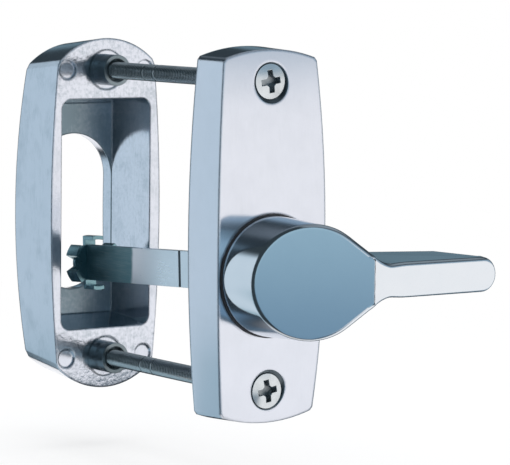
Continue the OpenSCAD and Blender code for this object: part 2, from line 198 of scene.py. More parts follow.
class Graph:
    """A node tree of any kind, and the one way to add a node to it."""

    def __init__(self, tree: bpy.types.NodeTree) -> None:
        """Empties a tree and wraps it."""
        self.tree = tree
        tree.nodes.clear()

    def node(self, kind: str, settings: Optional[dict[str, Any]] = None,
             inputs: Optional[dict[Union[str, int], Value]] = None) -> bpy.types.Node:
        """Adds one node.

        Args:
            kind: the node's type.
            settings: the node's own settings, set first.
            inputs: the values or links of its sockets, by name or number.

        Returns:
            The node.
        """
        made = self.tree.nodes.new(kind)
        for name, setting in (settings or {}).items():
            setattr(made, name, setting)
        for key, value in (inputs or {}).items():
            self.feed(made.inputs[key], value)
        return made

    def feed(self, socket: bpy.types.NodeSocket, value: Value) -> None:
        """Links or sets one input socket.

        Args:
            socket: the input.
            value: a field, an output socket or a plain value.
        """
        if isinstance(value, Field):
            self.tree.links.new(value.socket, socket)
        elif isinstance(value, bpy.types.NodeSocket):
            self.tree.links.new(value, socket)
        elif socket.type == "RGBA" and len(value) == 3:
            socket.default_value = (*value, 1.0)
        else:
            socket.default_value = value

    def place(self) -> bpy.types.NodeSocket:
        """Object coordinates."""
        return self.node("ShaderNodeTexCoord").outputs["Object"]

    def axes(self, vector: bpy.types.NodeSocket) -> tuple[Field, Field, Field]:
        """The three parts of a vector."""
        x, y, z = self.node("ShaderNodeSeparateXYZ", inputs={0: vector}).outputs
        return Field(self, x), Field(self, y), Field(self, z)

    def noise(self, place: bpy.types.NodeSocket, size: float, stretch: Place = (1.0, 1.0, 1.0),
              detail: float = 2.0, roughness: float = 0.55) -> Field:
        """Cloudy noise around zero.

        Args:
            place: the coordinates it is read at.
            size: the width of one cloud, in metres.
            stretch: how many times longer a cloud is along each axis.
            detail: how many finer layers it has.
            roughness: how strong the finer layers are.

        Returns:
            The noise as a field.
        """
        scale = tuple(1.0 / (size * times) for times in stretch)
        mapped = self.node("ShaderNodeMapping", inputs={"Vector": place, "Scale": scale})
        made = self.node("ShaderNodeTexNoise", inputs={
            "Vector": mapped.outputs[0], "Scale": 1.0, "Detail": detail, "Roughness": roughness})
        return Field(self, made.outputs["Fac"]) - 0.5

    def blend(self, factor: Field, first: Value, second: Value) -> bpy.types.NodeSocket:
        """Mixes two colours.

        Args:
            factor: the share of the second colour.
            first: the first colour.
            second: the second colour.

        Returns:
            The mixed colour's socket.
        """
        node = self.node("ShaderNodeMix", {"data_type": "RGBA"}, {0: factor, 6: first, 7: second})
        return node.outputs[2]

    def mix(self, factor: Field, first: bpy.types.Node, second: bpy.types.Node) -> bpy.types.Node:
        """Mixes two shaders.

        Args:
            factor: the share of the second shader.
            first: the first shader's node.
            second: the second shader's node.

        Returns:
            The Mix Shader node.
        """
        return self.node("ShaderNodeMixShader", inputs={
            0: factor, 1: first.outputs[0], 2: second.outputs[0]})

    def show(self, shader: bpy.types.Node, output: str = "ShaderNodeOutputMaterial") -> None:
        """Ends the tree with a shader on its surface."""
        self.node(output, inputs={"Surface": shader.outputs[0]})


def new_material(name: str) -> tuple[bpy.types.Material, Graph]:
    """Starts a material.

    Args:
        name: its name.

    Returns:
        The material and its empty graph.
    """
    made = bpy.data.materials.new(name)
    made.use_nodes = True
    return made, Graph(made.node_tree)


class Lay(Enum):
    """The way the tool marks of a finish run: how many times longer they are along each axis."""

    NONE = (1.0, 1.0, 1.0)
    ACROSS = (30.0, 1.0, 1.0)
    ALONG = (1.0, 30.0, 1.0)
    UPRIGHT = (1.0, 1.0, 30.0)


@dataclass(frozen=True)
class Spot:
    """What a finish reads at a point: its place, and broad clouds and fine marks around zero."""

    graph: Graph
    place: bpy.types.NodeSocket
    cloud: Field
    marks: Field

    def axes(self) -> tuple[Field, Field, Field]:
        """The point's object coordinates."""
        return self.graph.axes(self.place)


@dataclass(frozen=True)
class Skin:
    """What a finish does at a point: its share of the shade colour, its roughness and its height."""

    tint: Field
    rough: Field
    height: Field


@dataclass(frozen=True)
class MetalFinish:
    """A bare or plated metal: its colour, gloss, tool marks and softened edges.

    Sizes are in metres. The roughness is gloss, varied by cloud and marks. The share of the shade
    colour is share, varied by mottle.
    """

    name: str
    colour: Colour
    shade: Colour
    gloss: float
    cloud: float = 0.10
    marks: float = 0.06
    share: float = 0.25
    mottle: float = 0.9
    lay: Lay = Lay.NONE
    ripple: float = 0.02
    edge: float = 0.3 * MM
    cloud_size: float = 7.0 * MM
    mark_size: float = 0.2 * MM
    bump_depth: float = 0.2 * MM
    mark_mottle: float = 0.55
    cloud_height: float = 0.3
    least_rough: float = 0.03
    edge_samples: int = 6

    def material(self) -> bpy.types.Material:
        """Builds the finish, or finds it when it is built already.

        Returns:
            The material.
        """
        known = bpy.data.materials.get(self.name)
        if known:
            return known
        made, graph = new_material(self.name)
        place = graph.place()
        cloud = graph.noise(place, self.cloud_size, detail=3.0)
        marks = graph.noise(place, self.mark_size, self.lay.value)
        skin = self.surface(Spot(graph, place, cloud, marks))
        edge = graph.node("ShaderNodeBevel", {"samples": self.edge_samples}, {"Radius": self.edge})
        bump = graph.node("ShaderNodeBump", inputs={
            "Strength": self.ripple, "Distance": self.bump_depth,
            "Height": skin.height, "Normal": edge.outputs[0]})
        graph.show(graph.node("ShaderNodeBsdfPrincipled", inputs={
            "Base Color": graph.blend(skin.tint, self.colour, self.shade), "Metallic": 1.0,
            "Roughness": skin.rough, "Normal": bump.outputs[0]}))
        return made

    def surface(self, spot: Spot) -> Skin:
        """The metal's skin, the same all over.

        Args:
            spot: what the finish reads at a point.

        Returns:
            What the finish does there.
        """
        mottle = spot.cloud * self.mottle + spot.marks * self.mottle * self.mark_mottle
        rough = spot.cloud * self.cloud + spot.marks * self.marks + self.gloss
        height = spot.cloud * self.cloud_height + spot.marks
        return Skin((mottle + self.share).clamped(), rough.most(self.least_rough), height)


@dataclass(frozen=True)
class CastChrome(MetalFinish):
    """Chrome on the housing: polished outside, left as cast on its door side and in its pocket, with
    painted shade on the pocket's back.

    The fades are the distances over which the door face, its dull ends and the pocket's back end.
    """

    door_y: float = 0.0
    mid_z: float = 0.0
    pocket_half: float = 0.0
    pocket_tall: float = 0.0
    pocket_d: float = 0.0
    end_rise: float = 0.0
    end_fade: float = 6.0 * MM
    face_fade: Span = (0.1 * MM, 0.5 * MM)
    back_fade: Span = (0.1 * MM, 0.4 * MM)
    soft: float = 0.2 * MM
    face_skin: float = 0.2
    end_skin: float = 0.6
    pocket_skin: float = 0.3
    skin_tint: float = 0.05
    skin_rough: float = 0.02
    back_shade_tint: float = 0.9
    back_rough: float = 0.22
    grain_size: float = 1.1 * MM
    grain_tint: float = 1.6
    grain_rough: float = 0.2
    grain_height: float = 7.0

    def surface(self, spot: Spot) -> Skin:
        """As the polished metal, with cast skin where the door covers it and painted shade on the pocket's
        back.

        Args:
            spot: what the finish reads at a point.

        Returns:
            What the finish does there.
        """
        chrome = super().surface(spot)
        x, y, z = spot.axes()
        rise = abs(z - self.mid_z)
        depth = y - self.door_y
        face = depth.fade(*self.face_fade)
        inside = (1.0 - face) * abs(x).fade(self.pocket_half - self.soft, self.pocket_half + self.soft)
        inside = inside * rise.fade(self.pocket_tall - self.soft, self.pocket_tall + self.soft)
        # back is painted shade: the pocket's back is darkened towards the shade colour, and made rougher.
        back = inside * abs(depth - self.pocket_d).fade(*self.back_fade)
        ends = rise.step(self.end_rise, self.end_rise + self.end_fade)
        cast = (face * (ends * self.end_skin + self.face_skin) + inside * self.pocket_skin).least(1.0)
        grain = spot.graph.noise(spot.place, self.grain_size, detail=4.0)
        tint = chrome.tint + cast * (grain * self.grain_tint + self.skin_tint) + back * self.back_shade_tint
        rough = cast * (grain * self.grain_rough + self.skin_rough) + back * self.back_rough
        height = chrome.height + cast * grain * self.grain_height
        return Skin(tint.clamped(), chrome.rough + rough, height)


@dataclass(frozen=True)
class SunkChrome(MetalFinish):
    """Chrome on the plate: polished, with painted shade and more roughness on the screws' countersinks.

    facing holds the normals' Y from where a face counts as part of a countersink's cone.
    """

    sink_r: float = 0.0
    sink_y: float = 0.0
    axis_zs: Span = (0.0, 0.0)
    soft: float = 0.3 * MM
    facing: Span = (-0.95, -0.85)
    cone_rough: float = 0.2

    def surface(self, spot: Spot) -> Skin:
        """As the polished metal, with painted shade on the countersinks' cones.

        Args:
            spot: what the finish reads at a point.

        Returns:
            What the finish does there.
        """
        chrome = super().surface(spot)
        x, y, z = spot.axes()
        near = from_nearer_axis(x, z, self.axis_zs).fade(self.sink_r, self.sink_r + self.soft)
        near = near * y.fade(self.sink_y, self.sink_y + self.soft)
        normal = spot.graph.node("ShaderNodeNewGeometry").outputs["True Normal"]
        _, facing, _ = spot.graph.axes(normal)
        # cone is painted shade: the countersinks' cones are darkened towards the shade colour, and made
        # rougher.
        cone = near * facing.step(*self.facing)
        return Skin((chrome.tint + cone).least(1.0), chrome.rough + cone * self.cone_rough, chrome.height)


@dataclass(frozen=True)
class ThreadedSteel(MetalFinish):
    """Plated screw steel, with painted shade behind the plate, towards the thread's roots and in the cross
    recess of the head.
    """

    root_r: float = 0.0
    crest_r: float = 0.0
    head_y: float = 0.0
    axis_zs: Span = (0.0, 0.0)
    shank_start: Span = (0.0, 2.0 * MM)
    recess_rim: Span = (3.2 * MM, 3.4 * MM)
    recess_d: float = 2.0 * MM
    soft: float = 0.4 * MM
    shank_shade_tint: float = 0.1
    root_shade_tint: float = 0.3
    root_rough: float = 0.12
    recess_shade_tint: float = 0.45
    recess_rough: float = 0.2

    def surface(self, spot: Spot) -> Skin:
        """As the plated steel, with painted shade behind the plate, towards the thread's roots and in the
        cross recess.

        Args:
            spot: what the finish reads at a point.

        Returns:
            What the finish does there.
        """
        steel = super().surface(spot)
        x, y, z = spot.axes()
        radius = from_nearer_axis(x, z, self.axis_zs)
        shank = y.step(*self.shank_start)
        # Painted shade: darker towards the thread's roots, and rougher there.
        root_shade = radius.fade(self.root_r, self.crest_r) * shank
        floor_y = self.head_y + self.recess_d
        recess = y.step(self.head_y, self.head_y + self.soft) * y.fade(floor_y, floor_y + self.soft)
        # Painted shade: darker in the cross recess of the head, and rougher there.
        recess_shade = recess * radius.fade(*self.recess_rim)
        # Painted shade also darkens all of the screw behind the plate, where it runs between the plate and
        # the housing.
        tint = steel.tint + shank * self.shank_shade_tint + root_shade * self.root_shade_tint + recess_shade * self.recess_shade_tint
        rough = steel.rough + root_shade * self.root_rough + recess_shade * self.recess_rough
        return Skin(tint.least(1.0), rough, steel.height)


@dataclass(frozen=True)
class ShadedEndBlade(MetalFinish):
    """Drawn steel on the tail blade, with painted shade, dark teal, on its end inside the pocket next to
    the star.
    """

    shade_start_y: float = 0.0
    waver: float = 2.0 * MM
    soft: float = 0.8 * MM
    end_shade_tint: float = 0.92
    end_shade_marks: float = 0.3
    end_rough: float = 0.25

    def surface(self, spot: Spot) -> Skin:
        """As the drawn steel, with painted shade beyond one place along the blade.

        Args:
            spot: what the finish reads at a point.

        Returns:
            What the finish does there.
        """
        steel = super().surface(spot)
        _, y, _ = spot.axes()
        along = y + spot.cloud * self.waver
        # blued is the share of painted shade on the blade's end, with a wavy edge.
        blued = along.step(self.shade_start_y - self.soft, self.shade_start_y + self.soft)
        tint = steel.tint + blued * (spot.marks * self.end_shade_marks + self.end_shade_tint)
        return Skin(tint.least(1.0), steel.rough + blued * self.end_rough, steel.height)


@dataclass(frozen=True)
class MouldedFinish:
    """A moulded plastic with a faint grain. Sizes are in metres."""

    name: str
    colour: Colour
    shade: Colour
    gloss: float
    grain_size: float = 0.4 * MM
    grain_rough: float = 0.2
    ripple: float = 0.15
    bump_depth: float = 0.1 * MM

    def material(self) -> bpy.types.Material:
        """Builds the finish.

        Returns:
            The material.
        """
        made, graph = new_material(self.name)
        grain = graph.noise(graph.place(), self.grain_size, detail=3.0)
        bump = graph.node("ShaderNodeBump", inputs={
            "Strength": self.ripple, "Distance": self.bump_depth, "Height": grain})
        graph.show(graph.node("ShaderNodeBsdfPrincipled", inputs={
            "Base Color": graph.blend(grain + 0.5, self.colour, self.shade),
            "Roughness": grain * self.grain_rough + self.gloss, "Normal": bump.outputs[0]}))
        return made


def wear(node: str, material: bpy.types.Material) -> None:
    """Puts a finish on a CAD node's own slots.

    Args:
        node: the CAD node.
        material: the finish.
    """
    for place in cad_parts[node].material_slots:
        place.material = material
    log.info("%s wears %s", node, material.name)


def link(made: bpy.types.Object) -> bpy.types.Object:
    """Puts a new object into the scene."""
    bpy.context.scene.collection.objects.link(made)
    return made


def add_piece(name: str, mesh: bpy.types.Mesh, body: str, node: str) -> bpy.types.Object:
    """Makes a finished mesh a piece of the object.

    Args:
        name: the piece's name.
        mesh: its mesh, already in place and with its material.
        body: the CAD body it moves with.
        node: the CAD node it stands for.

    Returns:
        The piece.
    """
    piece = link(bpy.data.objects.new(name, mesh))
    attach(piece, body)
    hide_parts(node)
    log.info("%s: %d faces, rides on %s", name, len(mesh.polygons), body)
    return piece


def merged_copy(node: str, flat: float = 0.2, close: float = 0.002 * MM) -> bmesh.types.BMesh:
    """A copy of a CAD node's mesh with shared corners and whole flat faces.

    Args:
        node: the CAD node.
        flat: the angle in degrees below which neighbouring faces become one.
        close: the distance in metres below which corners become one.

    Returns:
        The copy.
    """
    made = bmesh.new()
    made.from_mesh(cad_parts[node].data)
    bmesh.ops.remove_doubles(made, verts=made.verts, dist=close)
    bmesh.ops.dissolve_limit(made, angle_limit=math.radians(flat), verts=made.verts, edges=made.edges)
    return made


def close_and_smooth(made: bmesh.types.BMesh, sharp: float) -> None:
    """Fills open rims, and smooths all but the sharp edges.

    Args:
        made: the mesh.
        sharp: the angle in degrees from which an edge stays sharp.
    """
    rims = [edge for edge in made.edges if edge.is_boundary]
    if rims:
        bmesh.ops.holes_fill(made, edges=rims, sides=0)
    bmesh.ops.recalc_face_normals(made, faces=made.faces)
    for face in made.faces:
        face.smooth = True
    for edge in made.edges:
        edge.smooth = len(edge.link_faces) != 2 or edge.calc_face_angle() < math.radians(sharp)


def as_mesh(made: bmesh.types.BMesh, name: str, material: bpy.types.Material) -> bpy.types.Mesh:
    """Turns a working mesh into a finished one.

    Args:
        made: the working mesh, which is freed.
        name: the mesh's name.
        material: its finish.

    Returns:
        The finished mesh.
    """
    mesh = bpy.data.meshes.new(name)
    made.to_mesh(mesh)
    made.free()
    mesh.materials.append(material)
    return mesh


def settle_normals(mesh: bpy.types.Mesh, limit: float, known: dict[int, Vector],
                   same: float = 0.999) -> None:
    """Gives every corner its known normal, or the mean of the faces it runs smoothly into.

    Args:
        mesh: the mesh, all of it smooth.
        limit: the angle in degrees from which two faces meet in a crease.
        known: the exact normals, by number of the mesh's vertex.
        same: the cosine above which a known normal fits a face that has unknown corners too.
    """
    least = math.cos(math.radians(limit))
    around: list[list[int]] = [[] for _ in mesh.vertices]
    for face in mesh.polygons:
        for corner in face.vertices:
            around[corner].append(face.index)
    facing = [face.normal.copy() for face in mesh.polygons]
    areas = [face.area for face in mesh.polygons]
    settled: list[Vector] = []
    for face in mesh.polygons:
        own = facing[face.index]
        whole = all(corner in known for corner in face.vertices)
        for corner in face.vertices:
            exact = known.get(corner)
            if exact is not None and exact.dot(own) > (least if whole else same):
                settled.append(exact)
                continue
            near = [i for i in around[corner] if own.dot(facing[i]) > least]
            settled.append(sum((facing[i] * areas[i] for i in near), Vector()).normalized())
    mesh.normals_split_custom_set(settled)


@dataclass
class ThumbTurn:
    """The knob with its lever, the rim of its front rounded for the hand.

    Sizes are in metres and angles in degrees. drum_lean is how much the drum narrows over its
    height. reach is how many rim radii below the rim its sides are still drawn along.
    """

    finish: MetalFinish
    drum_r: float = 16.5 * MM
    drum_lean: float = 1.2 / 26.2
    drum_slack: float = 0.03 * MM
    rim_r: float = 1.3 * MM
    steps: int = 8
    evening: int = 3
    reach: float = 3.0
    crease: float = 17.0
    flat: float = 0.5
    weld: float = 0.1 * MM
    front_y: float = -0.8

    def build(self) -> bpy.types.Object:
        """Rounds the rim and gives the knob smooth shading that keeps its crease.

        Returns:
            The piece.
        """
        made = merged_copy("thumb_turn", self.flat, self.weld)
        rounded = self._round_rim(made)
        self._keep_inside(made)
        close_and_smooth(made, 180.0)
        made.verts.index_update()
        known = self._drum_normals(made)
        known.update({vert.index: normal for vert, normal in rounded.items()})
        mesh = as_mesh(made, "rounded_thumb_turn", self.finish.material())
        settle_normals(mesh, self.crease, known)
        return add_piece("rounded_thumb_turn", mesh, "turn", "thumb_turn")

    def _round_rim(self, made: bmesh.types.BMesh) -> dict[bmesh.types.BMVert, Vector]:
        """Puts an arc between the front and the sides at every corner of the front's rim.

        Args:
            made: the knob's mesh.

        Returns:
            The normal of every corner of the arcs.
        """
        fronts = [face for face in made.faces if face.normal.y < self.front_y]
        rim = self._divided_rim(made, fronts)
        sides = self._side_normals(rim, fronts)
        corners = list(sides)
        ends = [vert for vert in corners if sum(face in fronts for face in vert.link_faces) == 2]
        crease = (ends[1].co - ends[0].co).normalized()
        spots: dict[bmesh.types.BMVert, list[Vector]] = {}
        turns: dict[bmesh.types.BMVert, list[Vector]] = {}
        for vert in corners:
            inner = (face.normal for face in vert.link_faces if face in fronts)
            front = sum(inner, Vector()).normalized()
            side = sides[vert]
            middle = vert.co - (front + side) * (self.rim_r / (1.0 + front.dot(side)))
            turns[vert] = [front.slerp(side, k / self.steps) for k in range(self.steps + 1)]
            spots[vert] = [middle + normal * self.rim_r for normal in turns[vert]]
            if vert in ends:
                spots[vert][0] = vert.co + crease * (spots[vert][0] - vert.co).dot(crease)
        self._follow_rim(made, {vert: spots[vert][-1] - vert.co for vert in corners})
        arcs = {vert: [*(made.verts.new(spot) for spot in spots[vert][:-1]), vert] for vert in corners}
        for edge in rim:
            first, second = (arcs[vert] for vert in edge.verts)
            for k in range(self.steps):
                made.faces.new((first[k], second[k], second[k + 1], first[k + 1]))
        for face in fronts:
            made.faces.new([arcs[vert][0] for vert in face.verts])
        bmesh.ops.delete(made, geom=fronts, context="FACES")
        return {
            corner: normal
            for vert in corners
            for k, (corner, normal) in enumerate(zip(arcs[vert], turns[vert]))
            if k or vert not in ends
        }

    def _divided_rim(self, made: bmesh.types.BMesh,
                     fronts: list[bmesh.types.BMFace]) -> list[bmesh.types.BMEdge]:
        """Divides the rim into short edges.

        Args:
            made: the knob's mesh.
            fronts: the faces inside the rim.

        Returns:
            The rim's edges.
        """
        rim: list[bmesh.types.BMEdge] = []
        for edge in [e for e in made.edges if sum(face in fronts for face in e.link_faces) == 1]:
            for parts in range(math.ceil(edge.calc_length() / self.rim_r), 1, -1):
                piece, _ = bmesh.utils.edge_split(edge, edge.verts[0], 1.0 / parts)
                rim.append(piece)
            rim.append(edge)
        return rim

    def _side_normals(self, rim: list[bmesh.types.BMEdge],
                      fronts: list[bmesh.types.BMFace]) -> dict[bmesh.types.BMVert, Vector]:
        """The sides' normals along the rim, evened out where one side runs into the next.

        Args:
            rim: the rim's edges.
            fronts: the faces inside the rim.

        Returns:
            A normal for every corner of the rim.
        """
        outer = {edge: next(face.normal for face in edge.link_faces if face not in fronts) for edge in rim}
        around: dict[bmesh.types.BMVert, list[bmesh.types.BMEdge]] = {}
        for edge in rim:
            for vert in edge.verts:
                around.setdefault(vert, []).append(edge)
        sides = {
            vert: sum((outer[edge] for edge in edges), Vector()).normalized()
            for vert, edges in around.items()
        }
        for _ in range(self.evening):
            beside = {
                vert: sum((sides[edge.other_vert(vert)] for edge in edges), Vector())
                for vert, edges in around.items()
            }
            sides = {vert: (side + beside[vert]).normalized() for vert, side in sides.items()}
        return sides

    def _follow_rim(self, made: bmesh.types.BMesh, moves: dict[bmesh.types.BMVert, Vector]) -> None:
        """Moves the rim to the foot of its arcs, and draws the corners close below it along.

        Args:
            made: the knob's mesh.
            moves: how far each corner of the rim moves.
        """
        reach = self.reach * self.rim_r
        drawn: dict[bmesh.types.BMVert, Vector] = {}
        for vert in made.verts:
            nearest = min(moves, key=lambda corner: (corner.co - vert.co).length_squared)
            away = (nearest.co - vert.co).length
            if away < reach:
                drawn[vert] = moves[nearest] * (1.0 - away / reach)
        for vert, move in drawn.items():
            vert.co += move

    @staticmethod
    def _keep_inside(made: bmesh.types.BMesh) -> None:
        """Draws back the corners that the rounding pushed past the CAD knob's box.

        Args:
            made: the knob's mesh.
        """
        low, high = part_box("thumb_turn")
        for vert in made.verts:
            vert.co = Vector(min(max(spot, least), most) for spot, least, most in zip(vert.co, low, high))

    def _drum_normals(self, made: bmesh.types.BMesh) -> dict[int, Vector]:
        """The cone's own normals at the corners that lie on the drum.

        Args:
            made: the knob's mesh.

        Returns:
            The normals, by number of the corner.
        """
        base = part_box("thumb_turn")[1].y
        normals: dict[int, Vector] = {}
        for vert in made.verts:
            radius = math.hypot(vert.co.x, vert.co.z)
            drum_r = self.drum_r - self.drum_lean * (base - vert.co.y)
            if abs(radius - drum_r) < self.drum_slack:
                out = Vector((vert.co.x / radius, -self.drum_lean, vert.co.z / radius))
                normals[vert.index] = out.normalized()
        return normals


@dataclass
class FixingScrew:
    """A long countersunk screw with a rolled thread and break-off grooves.

    Sizes are in metres and angles in degrees. snap_y is how far the nearer groove is from the
    housing. The thread's flanks rise flank_rise times as fast as a plain zigzag, from flank_cut of
    the depth below the root, and run_in is the slope at which the thread leaves the shank.
    """

    node: str
    body: str
    finish: MetalFinish
    shank_r: float = 2.23 * MM
    crest_r: float = 2.45 * MM
    root_r: float = 2.0 * MM
    groove_r: float = 2.05 * MM
    tip_r: float = 1.65 * MM
    pitch: float = 0.8 * MM
    thread_start: float = 3.0 * MM
    joint_gap: float = 0.2 * MM
    snap_y: float = 22.0 * MM
    snap_pitch: float = 5.7 * MM
    groove_half: float = 0.4 * MM
    flank_rise: float = 1.35
    flank_cut: float = 0.15
    run_in: float = 0.5
    weld: float = 0.001 * MM
    crease: float = 35.0
    sides: int = 32
    rows_a_turn: int = 8

    def build(self) -> bpy.types.Object:
        """Joins the head from the CAD to a rolled thread.

        Returns:
            The piece.
        """
        made = self._head()
        thread = self._thread(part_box(self.node)[1].y - self.thread_start)
        thread.transform(Matrix.Translation((0.0, self.thread_start, middle_z(self.node))))
        made.from_mesh(thread)
        bpy.data.meshes.remove(thread)
        joint_end = self.thread_start + self.pitch
        joint = [edge for edge in made.edges if edge.is_boundary and edge.verts[0].co.y < joint_end]
        bmesh.ops.bridge_loops(made, edges=joint)
        close_and_smooth(made, self.crease)
        mesh = as_mesh(made, f"threaded_{self.node}", self.finish.material())
        return add_piece(f"threaded_{self.node}", mesh, self.body, self.node)

    def _head(self) -> bmesh.types.BMesh:
        """The head and plain shank.

        Returns:
            The mesh, cut off just before the thread starts.
        """
        made = merged_copy(self.node)
        bmesh.ops.bisect_plane(
            made, geom=[*made.verts, *made.edges, *made.faces], clear_outer=True,
            plane_co=(0.0, self.thread_start - self.joint_gap, 0.0), plane_no=(0.0, 1.0, 0.0))
        return made

    def _thread(self, run: float) -> bpy.types.Mesh:
        """Rolls the thread from a grid with geometry nodes.

        Args:
            run: the thread's length.

        Returns:
            The thread's mesh, starting at the origin and running along Y.
        """
        tree = bpy.data.node_groups.new("rolled_thread", "GeometryNodeTree")
        groove = DOOR_Y - self.snap_y - self.thread_start
        sizes = {
            "Length": run, "Pitch": self.pitch, "Crest Radius": self.crest_r,
            "Root Radius": self.root_r, "Shank Radius": self.shank_r, "Tip Radius": self.tip_r,
            "Groove Radius": self.groove_r, "Groove Half Width": self.groove_half,
            "First Groove": groove - self.snap_pitch, "Second Groove": groove,
        }
        sockets = {name: tree.interface.new_socket(name, in_out="INPUT", socket_type="NodeSocketFloat")
                   for name in sizes}
        finish = tree.interface.new_socket("Finish", in_out="INPUT", socket_type="NodeSocketMaterial")
        tree.interface.new_socket("Geometry", in_out="OUTPUT", socket_type="NodeSocketGeometry")
        self._roll(Graph(tree), round(run / self.pitch * self.rows_a_turn))
        carrier = link(bpy.data.objects.new("thread_carrier", bpy.data.meshes.new("thread_carrier")))
        modifier = carrier.modifiers.new("thread", "NODES")
        modifier.node_group = tree
        for name, size in sizes.items():
            modifier[sockets[name].identifier] = size
        modifier[finish.identifier] = self.finish.material()
        bpy.context.view_layer.update()
        evaluated = carrier.evaluated_get(bpy.context.evaluated_depsgraph_get())
        rolled = bpy.data.meshes.new_from_object(evaluated)
        carrier.modifiers.clear()
        bpy.data.objects.remove(carrier)
        return rolled

    def _roll(self, graph: Graph, rows: int) -> None:
        """Lays out the nodes that roll a flat grid into the thread.

        Args:
            graph: the tree.
            rows: how many rows of corners run along the thread.
        """
        given = graph.node("NodeGroupInput")
        size = {socket.name: Field(graph, socket) for socket in given.outputs if socket.name}
        grid = graph.node("GeometryNodeMeshGrid", inputs={
            "Size X": 1.0, "Size Y": 1.0, "Vertices X": rows, "Vertices Y": self.sides + 1})
        along, around, _ = graph.axes(graph.node("GeometryNodeInputPosition").outputs[0])
        along, around = along + 0.5, around + 0.5
        axial = along * size["Length"]
        phase = (axial / size["Pitch"] + around).fraction()
        flank = (abs(phase * 2.0 - 1.0) * self.flank_rise - self.flank_cut).clamped()
        radius = size["Root Radius"] + flank * (size["Crest Radius"] - size["Root Radius"])
        radius = radius.least(size["Shank Radius"] + axial * self.run_in)
        for name in ("First Groove", "Second Groove"):
            inside = abs(axial - size[name]).under(size["Groove Half Width"])
            radius = radius.least(size["Groove Radius"] + (1.0 - inside) * size["Crest Radius"])
        radius = radius.least(size["Tip Radius"] + (size["Length"] - axial))
        angle = around * -2.0 * math.pi
        spot = graph.node("ShaderNodeCombineXYZ", inputs={
            0: radius * angle.sine(), 1: axial, 2: radius * angle.cosine()})
        rolled = graph.node("GeometryNodeSetPosition", inputs={
            "Geometry": grid.outputs["Mesh"], "Position": spot.outputs[0]})
        merged = graph.node("GeometryNodeMergeByDistance", inputs={
            "Geometry": rolled.outputs[0], "Distance": self.weld})
        real = graph.node("GeometryNodeRealizeInstances", inputs={"Geometry": merged.outputs[0]})
        dressed = graph.node("GeometryNodeSetMaterial", inputs={
            "Geometry": real.outputs[0], "Material": size["Finish"]})
        graph.node("NodeGroupOutput", inputs={0: dressed.outputs[0]})


@dataclass
class Castings:
    """The inner plate and the outer housing, with the pillars that stand in the housing."""

    plate: MetalFinish
    housing: MetalFinish
    pillars: MetalFinish

    def dress(self) -> None:
        """Puts the chrome on the castings and the plating on the pillars."""
        wear("inner_plate", self.plate.material())
        wear("outer_housing", self.housing.material())
        for pillar in ("upper_pillar", "lower_pillar"):
            wear(pillar, self.pillars.material())


@dataclass
class TailDrive:
    """The flat tail that turns the lock, and the star of claws on its end."""

    blade: MetalFinish
    star: MetalFinish

    def dress(self) -> None:
        """Puts drawn steel on the blade and blued steel on the star."""
        wear("tail_blade", self.blade.material())
        wear("star_clip", self.star.material())


@dataclass
class Bearing:
    """The slide ring and the pieces inside the plate that carry and index the turn."""

    ring: MouldedFinish
    finishes: dict[str, MetalFinish]

    def dress(self) -> None:
        """Puts a finish on every piece of the bearing."""
        wear("slide_ring", self.ring.material())
        for node, finish in self.finishes.items():
            wear(node, finish.material())


@dataclass(frozen=True)
class Card:
    """A coloured card on the screen round the object, or an opening there if it has no colour.

    Angles are in degrees. Bearings run from the plate's front, positive towards the lever's tip.
    """

    bearing: float
    half_width: float
    low: float
    high: float
    colour: Optional[Colour] = None
    soft: float = 4.0

    def cover(self, east: Field, north: Field, rise: Field) -> Field:
        """The share of a direction that the card covers.

        Args:
            east: the level direction's part along X.
            north: the level direction's part along Y.
            rise: the sine of the direction's height.

        Returns:
            One on the card, zero off it, with soft edges.
        """
        turn = math.radians(self.bearing)
        wide = (east * math.sin(turn) - north * math.cos(turn)).step(
            math.cos(math.radians(self.half_width + self.soft)),
            math.cos(math.radians(max(self.half_width - self.soft, 0.0))))
        low, high, soft = (math.sin(math.radians(v)) for v in (self.low, self.high, self.soft))
        return wide * rise.step(low - soft, low + soft) * rise.fade(high - soft, high + soft)


